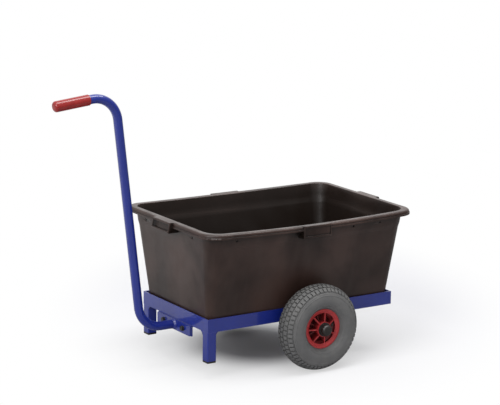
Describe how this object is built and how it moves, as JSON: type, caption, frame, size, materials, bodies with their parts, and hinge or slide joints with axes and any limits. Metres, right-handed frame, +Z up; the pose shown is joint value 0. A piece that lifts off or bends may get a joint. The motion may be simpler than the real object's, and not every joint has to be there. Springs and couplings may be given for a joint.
{
  "type": "hand cart",
  "caption": "Pull cart with a welded angle-iron frame on air-tyred wheels, short rest legs, a bent tube handle with a plastic grip and a lift-out moulded tub.",
  "frame": {"origin": "on the floor under the wheels, below the middle of the cart's overall length and width", "axes": "+Z up, -X towards the handle's grip, +X towards the tail, the axle along Y"},
  "size_m": [1.1134, 0.6016, 0.8399],
  "materials": {
    "blue_paint": "glossy blue powder coat",
    "black_plastic": "moulded black plastic",
    "zinc_steel": "zinc-plated steel",
    "black_steel": "black oxide on steel",
    "red_grip": "soft red plastic",
    "red_rim": "moulded red plastic",
    "grey_tyre": "grey non-marking rubber",
    "tube_rubber": "black rubber",
    "bush_plastic": "dark bearing plastic",
    "tub_plastic": "black-brown moulded plastic with a faint sheen"
  },
  "bodies": {
    "frame": {"frame_rail_near": "blue_paint", "frame_rail_far": "blue_paint", "frame_end_handle": "blue_paint", "frame_end_tail": "blue_paint", "leg_near": "blue_paint", "leg_far": "blue_paint", "leg_cap_near": "black_plastic", "leg_cap_far": "black_plastic", "axle": "zinc_steel", "axle_lug_near": "blue_paint", "axle_lug_far": "blue_paint", "axle_spacer_near": "zinc_steel", "axle_spacer_far": "zinc_steel", "hub_washers_near": "black_steel", "hub_washers_far": "black_steel", "axle_cap_near": "black_plastic", "axle_cap_far": "black_plastic", "handle_bracket": "blue_paint", "handle_flange": "blue_paint", "handle_tube": "blue_paint", "handle_grip": "red_grip", "handle_bolts": "black_steel", "handle_washers": "black_steel", "handle_nuts": "black_steel"},
    "tub": {"tub": "tub_plastic"},
    "wheel_near": {"tyre_near": "grey_tyre", "inner_tube_near": "tube_rubber", "rim_near": "red_rim", "hub_bushes_near": "bush_plastic", "valve_stem_near": "tube_rubber"},
    "wheel_far": {"tyre_far": "grey_tyre", "inner_tube_far": "tube_rubber", "rim_far": "red_rim", "hub_bushes_far": "bush_plastic", "valve_stem_far": "tube_rubber"}
  },
  "joints": [
    {"name": "wheel_near_spin", "type": "hinge", "parent": "frame", "child": "wheel_near", "pos_m": [0.19047, -0.245, 0.13], "axis": [0, 1, 0], "continuous": true},
    {"name": "wheel_far_spin", "type": "hinge", "parent": "frame", "child": "wheel_far", "pos_m": [0.19047, 0.245, 0.13], "axis": [0, 1, 0], "continuous": true},
    {"name": "tub_lift", "type": "slide", "parent": "frame", "child": "tub", "axis": [0, 0, 1], "range_m": [0, 0.3]}
  ]
}
